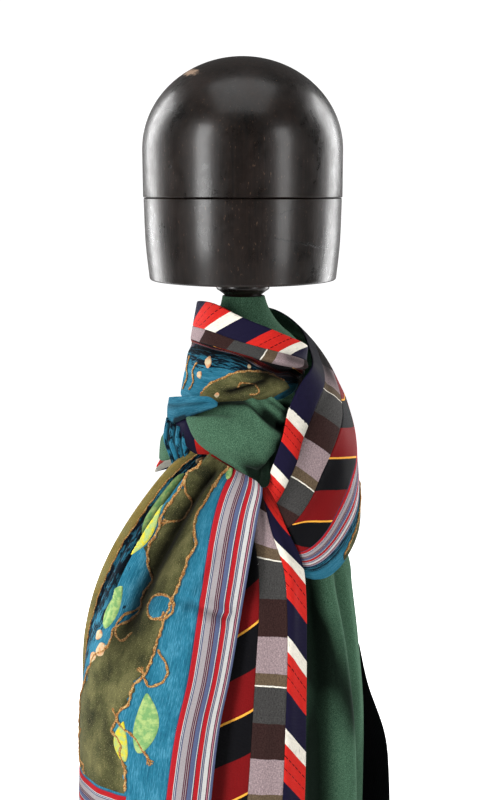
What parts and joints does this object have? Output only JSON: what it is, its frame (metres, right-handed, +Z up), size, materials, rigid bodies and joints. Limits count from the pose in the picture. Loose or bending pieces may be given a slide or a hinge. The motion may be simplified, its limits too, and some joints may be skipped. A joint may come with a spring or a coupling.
{
  "type": "cravat on a hat block stand",
  "caption": "Patchwork cravat wound and knotted round the neck of a turned hat block stand, with long ends hanging in front and behind.",
  "frame": {"origin": "centre of the foot's underside, on the surface that the stand rests on", "axes": "+Z up along the post, +X to the right seen from the front, -Y towards the front, where the knot is"},
  "size_m": [0.32, 0.32, 0.8716],
  "materials": {
    "club_stripe": "satin navy with diagonal red and cream stripes",
    "grey_block": "fine suiting weave in bands of grey, mauve and brown",
    "burgundy": "satin burgundy and black bands parted by fine gold lines",
    "ribbon": "matte woven ribbon in fine lengthwise stripes",
    "applique": "slubby teal cloth with olive scrolls and couched yarn",
    "green_lining": "dark forest green melange, matte",
    "teal_plain": "slubby plain teal cloth",
    "block_wood": "satin dark stained wood",
    "stand_wood": "satin dark stained wood"
  },
  "bodies": {
    "root": {"wrap_club_stripe": "club_stripe", "loop_club_stripe": "club_stripe", "front_club_stripe": "club_stripe", "knot_edge": "club_stripe", "left_corner": "club_stripe", "wrap_grey_block": "grey_block", "loop_grey_block": "grey_block", "front_grey_block": "grey_block", "wrap_burgundy": "burgundy", "loop_burgundy": "burgundy", "front_burgundy": "burgundy", "back_underlap": "burgundy", "wrap_ribbon": "ribbon", "loop_ribbon": "ribbon", "front_ribbon": "ribbon", "wrap_applique": "applique", "loop_applique": "applique", "front_applique": "applique", "collar": "green_lining", "knot": "green_lining", "back_wrap": "green_lining", "back_tail": "green_lining", "teal_tuck": "teal_plain", "side_strand": "teal_plain", "block_crown": "block_wood", "block_band": "block_wood", "stand_post": "stand_wood", "stand_foot": "stand_wood"}
  },
  "joints": []
}
